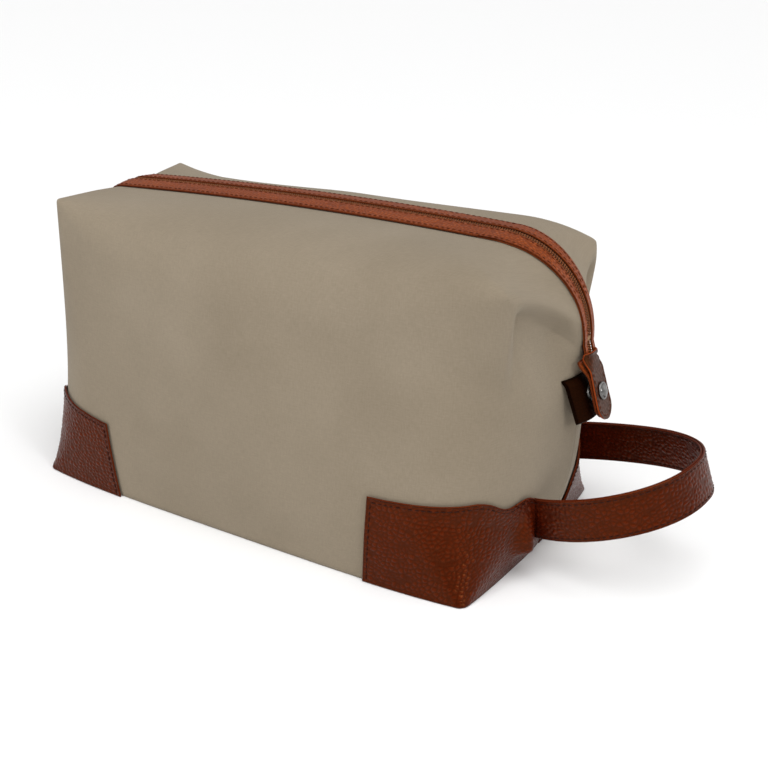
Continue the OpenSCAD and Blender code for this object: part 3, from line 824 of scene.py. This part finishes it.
def rim_line(top, length, half, inset, face, place):
    """The line that a row of stitches follows round a strap's sides and lower end."""
    low = top - length + half
    down = np.linspace(top, low, 40)
    a = np.linspace(0, np.pi, 41)
    r = half - inset
    side = tapered(down) - inset
    y = np.concatenate([side, r * np.cos(a), -side[::-1]])
    z = np.concatenate([down, low - r * np.sin(a), down[::-1]])
    n = face(z, y)
    path = place(n, y, z)
    return path, unit(place(n + 1, y, z) - path)


tab_seam = stitches("tab_stitching", [rim_line(-1, TAB_L - 1, TAB_W / 2, 1.7, tab_face, on_tab)], THREAD_TAN,
                    None)
bend_at_tab(tab_seam, 0.5, -8)


def lathe(name, profile, place, z, material, body, replaces=(), steps=48):
    """A turned piece: profile holds (radius, out) pairs, and its axis points out of the frame at height z."""
    a = np.linspace(0, 2 * np.pi, steps, endpoint=False)
    r, n = np.array(profile, float).T
    rings = place(n[:, None], r[:, None] * np.cos(a), z + r[:, None] * np.sin(a))
    faces = tube_faces(len(r), steps, 0)
    return finish_mesh(name, rings.reshape(-1, 3), faces, material, body, replaces)


def dome(height, radius, sphere, count=10):
    r = np.linspace(0.01, radius, count)
    return list(zip(r, height - sphere + np.sqrt(sphere**2 - r**2)))


RING = [(3.55, 1.05), (3.7, 0.95), (3.95, 1.0), (4.25, 0.95), (4.45, 0.75), (4.5, 0.45), (4.4, 0.15)]
SHANK = [(4.1, 0.0), (1.5, 0.0), (1.5, -2.7), (0.01, -2.7)]
cap = dome(2.3, 3.4, 6.0) + RING + SHANK
lathe("snap_cap_shell", cap, on_tab, -SNAP_D, STEEL, "tab", ["snap_cap"])
TAB_BACK = -2 * STRAP_T - 0.1
SOCKET = [(0.01, 0.0), (3.9, 0.0), (4.4, 0.25), (4.5, 0.7), (4.3, 1.1), (3.6, 1.25), (3.2, 1.75), (2.9, 1.9),
          (2.3, 1.9), (2.1, 1.7), (2.1, 0.5), (0.01, 0.5)]
socket = [(r, TAB_BACK - depth) for r, depth in SOCKET]
lathe("snap_socket_ring", socket, on_tab, -SNAP_D, STEEL, "tab", ["snap_socket"])


# ---------------------------------------------------------------- keeper: a bowed flap sewn on at its top
KEEPER_FRONT = TAB_BACK - 3.2
KEEPER_W, KEEPER_TOP, KEEPER_LOW, KEEPER_T, KEEPER_BOW = 26.0, -11.5, -34.0, 1.8, 5.2


def wall_out(y, z):
    """How far out of the tab's frame the bag's end face stands, at heights z and at y across."""
    q = surface(2 - abs(y) / FRONT_Y, np.linspace(0.2, 0.99, 200), -1 if y < 0 else 1)
    d = q - np.array(TAB_ORIGIN)
    a = math.radians(TAB_LEAN)
    n = d[:, 0] * math.cos(a) + d[:, 2] * math.sin(a)
    up = d[:, 2] * math.cos(a) - d[:, 0] * math.sin(a)
    return np.interp(z, up, n)


def keeper():
    z = np.linspace(KEEPER_TOP, KEEPER_LOW, 60)
    y = np.linspace(-KEEPER_W / 2, KEEPER_W / 2, 66)
    rows = []
    for yy in y:
        bow = KEEPER_BOW * abs(2 * yy / KEEPER_W) ** 2.4
        flap = KEEPER_FRONT - bow + 0.05 * (-SNAP_D - z) * (1 + 0.5 * bow / KEEPER_BOW)
        seam = np.clip(wall_out(yy, z) + 0.2, flap - 1.3, flap)
        rows.append(mix(flap, seam, smooth((z - KEEPER_TOP + 4) / 4)))
    n = np.array(rows)
    across, up = np.meshgrid(y, z, indexing="ij")
    # The keeper takes the dark leather whose colour holds painted shade.
    sheet("keeper_leather", on_tab(n, across, up), on_tab(n - KEEPER_T, across, up), DARK_AND_SHADED, "bag",
          ["keeper_strap"], 0.1, 81, size=1.9)


keeper()


# ---------------------------------------------------------------- plain frame pieces with better surfaces
def dress(node, material, bevel):
    """A frame piece that stays: its own shape with rounded edges and a finished surface."""
    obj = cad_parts[node]
    obj.data.materials.clear()
    obj.data.materials.append(material)
    made = obj.modifiers.new("round_edges", "BEVEL")
    made.width, made.segments, made.limit_method = bevel * MM, 3, "ANGLE"
    made.angle_limit = math.radians(35)


DRESSED = (("snap_stud", STEEL, 0.2), ("stud_rivet", STEEL, 0.2), ("zip_stops", BRASS, 0.3),
           ("zip_slider", BRASS, 0.3), ("zip_pull", LEATHER, 0.25), ("base_board", BOARD, 0.3),
           ("zip_end_cover", LEATHER, 0.3))
for node, material, bevel in DRESSED:
    dress(node, material, bevel)


# ---------------------------------------------------------------- loop handle
HANDLE_AT = np.array([138.5, 20.0, 33.0])
HANDLE_W, LAYER_GAP = 22.4, 0.05
tilt, lean = math.radians(5), math.radians(-18)
TURN_X = np.array([[1, 0, 0], [0, math.cos(tilt), -math.sin(tilt)], [0, math.sin(tilt), math.cos(tilt)]])
TURN_Y = np.array([[math.cos(lean), 0, math.sin(lean)], [0, 1, 0], [-math.sin(lean), 0, math.cos(lean)]])
HANDLE_TURN = TURN_Y @ TURN_X


def bezier(a, b, c, d, k):
    a, b, c, d = (np.array(q, float) for q in (a, b, c, d))
    k = k[:, None]
    return a * (1 - k) ** 3 + 3 * b * k * (1 - k) ** 2 + 3 * c * k * k * (1 - k) + d * k**3


def handle_path(k):
    """The strap's line seen along its width: 0 to 2 outside the bag, and straight on where it is sewn in."""
    near = bezier((0, -44), (34, -60), (80, -46), (83, -8), np.clip(k, 0, 1))
    far = bezier((83, -8), (84, 8), (70, 30), (-4, 43), np.clip(k - 1, 0, 1))
    near = near + np.minimum(k, 0)[:, None] * np.array([102.0, -48.0])
    far = far + np.maximum(k - 2, 0)[:, None] * np.array([-222.0, 39.0])
    return np.where((k < 1)[:, None], near, far)


def handle_grid(off, count=560, rows=48, first=-0.07, last=2.05, low=-1.0, high=1.0):
    """Points along the strap and across it, off out from its middle."""
    fine = np.linspace(first, last, 1200)
    s = run_lengths(handle_path(fine))
    k = np.interp(np.linspace(0, s[-1], count), s, fine)
    path = handle_path(k)
    along = unit(handle_path(k + 0.004) - handle_path(k - 0.004))
    out = np.stack([along[:, 1], -along[:, 0]], -1)
    w = np.linspace(low, high, rows) * HANDLE_W / 2
    wave = 0.35 * noise(np.stack([path[:, 0], path[:, 1], 0 * k], -1), 31, 91)
    flat = path + out * (off + wave[:, None])
    local = np.stack(np.broadcast_arrays(flat[:, 0:1], flat[:, 1:2], w[None, :]), -1)
    return HANDLE_AT + local @ HANDLE_TURN.T


def bend_at_handle(obj):
    """The strap is sewn to the bag; this only bakes its placement into its mesh."""
    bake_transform(obj)


for word, node, sign, seed in (("outside", "handle_outer", 1, 92), ("inside", "handle_inner", -1, 93)):
    face, back = sign * (STRAP_T + LAYER_GAP), sign * LAYER_GAP
    layer = sheet("handle_" + word, handle_grid(face), handle_grid(back), LEATHER, None, [node],
                  0.34, seed)
    bend_at_handle(layer)
    lines = []
    for v in (-0.84, 0.84):
        path = handle_grid(face, 700, 1, 0.02, 1.98, v, v)[:, 0]
        above = handle_grid(face + sign, 700, 1, 0.02, 1.98, v, v)[:, 0]
        lines.append((path, unit(above - path)))
    seam = stitches("handle_stitching_" + word, lines, THREAD, None)
    bend_at_handle(seam)


# ---------------------------------------------------------------- floor, light and camera
def floor():
    mesh = bpy.data.meshes.new("floor")
    size, low = 20.0, -0.0002
    mesh.from_pydata([(-size, -size, low), (size, -size, low), (size, size, low), (-size, size, low)], [],
                     [(0, 1, 2, 3)])
    m = Shader("floor", 0.9, Specular_IOR_Level=0.1)
    m.bsdf.inputs["Base Color"].default_value = (0.86, 0.86, 0.86, 1)
    mesh.materials.append(m.material)
    obj = bpy.data.objects.new("floor", mesh)
    bpy.context.scene.collection.objects.link(obj)


def area_light(name, place, target, size, power):
    data = bpy.data.lights.new(name, "AREA")
    data.shape, data.size, data.energy = "DISK", size, power
    obj = bpy.data.objects.new(name, data)
    obj.location = place
    obj.rotation_mode = "QUATERNION"
    obj.rotation_quaternion = (Vector(target) - Vector(place)).to_track_quat("-Z", "Y")
    bpy.context.scene.collection.objects.link(obj)


def soft_sun(name, source, strength, spread_degrees):
    """Even light over the whole floor, from a wide patch of sky in this direction."""
    data = bpy.data.lights.new(name, "SUN")
    data.energy, data.angle = strength, math.radians(spread_degrees)
    obj = bpy.data.objects.new(name, data)
    obj.rotation_mode = "QUATERNION"
    obj.rotation_quaternion = Vector(source).to_track_quat("Z", "Y")
    bpy.context.scene.collection.objects.link(obj)


floor()
middle = (0.0, 0.0, 0.08)
area_light("key", (-0.45, -1.6, 0.95), middle, 0.3, 3.5)
area_light("low", (-0.5, -1.25, 0.3), middle, 0.18, 2.6)
area_light("side", (1.5, -0.6, 0.9), middle, 0.4, 7)
soft_sun("sky", (0.15, -0.25, 1.0), 2.3, 55)
soft_sun("back", (0.9, 1.0, 0.45), 0.6, 50)
world = bpy.data.worlds.new("studio")
bpy.context.scene.world = world
world.use_nodes = True
surroundings = world.node_tree.nodes["Background"]
surroundings.inputs["Color"].default_value = (1, 1, 1, 1)
surroundings.inputs["Strength"].default_value = 0.36
bpy.context.scene.view_settings.view_transform = "Standard"


def camera(place, yaw, pitch, roll, focal_px, side_px):
    """A camera at this place, turned by yaw from +Y, tilted down by pitch, rolled, with its focal length
    given in pixels of a picture side_px wide."""
    data = bpy.data.cameras.new("camera")
    data.sensor_width, data.lens = 36.0, focal_px * 36.0 / side_px
    data.clip_start, data.clip_end = 0.01, 20
    forward = Vector((math.sin(yaw) * math.cos(pitch), math.cos(yaw) * math.cos(pitch), -math.sin(pitch)))
    right = forward.cross(Vector((0, 0, 1))).normalized()
    up = right.cross(forward)
    x = math.cos(roll) * right + math.sin(roll) * up
    y = -math.sin(roll) * right + math.cos(roll) * up
    obj = bpy.data.objects.new("camera", data)
    obj.matrix_world = Matrix.Translation(place) @ Matrix((x, y, -forward)).transposed().to_4x4()
    bpy.context.scene.collection.objects.link(obj)
    bpy.context.scene.camera = obj


camera((0.363, -0.561, 0.346), math.radians(-29.8), math.radians(23.2), math.radians(2.1), 1298, 768)
